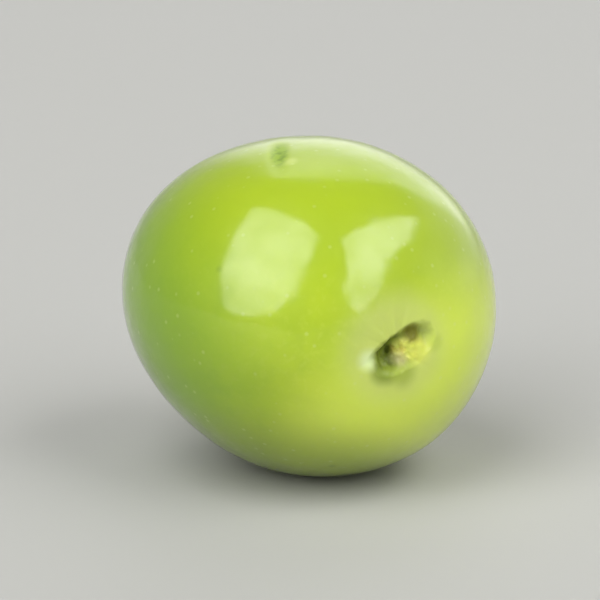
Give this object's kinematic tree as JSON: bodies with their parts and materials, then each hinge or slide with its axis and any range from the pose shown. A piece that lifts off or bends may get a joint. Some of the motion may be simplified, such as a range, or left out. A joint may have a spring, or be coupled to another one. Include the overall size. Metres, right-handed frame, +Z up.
{
  "type": "green olive",
  "caption": "Whole green table olive, plump uneven egg shape, with the torn stem hollow at one end and a small blossom point at the other.",
  "frame": {"origin": "on the surface that the olive rests on, under the middle of its box", "axes": "+X along the olive's length towards its stem end, +Z up, +Y across it"},
  "size_m": [0.0242, 0.0218, 0.02],
  "materials": {
    "olive_skin": "waxy yellow-green olive skin, wet and glossy, with pale flecks and a brown stem scar"
  },
  "bodies": {
    "root": {"olive": "olive_skin"}
  },
  "joints": []
}
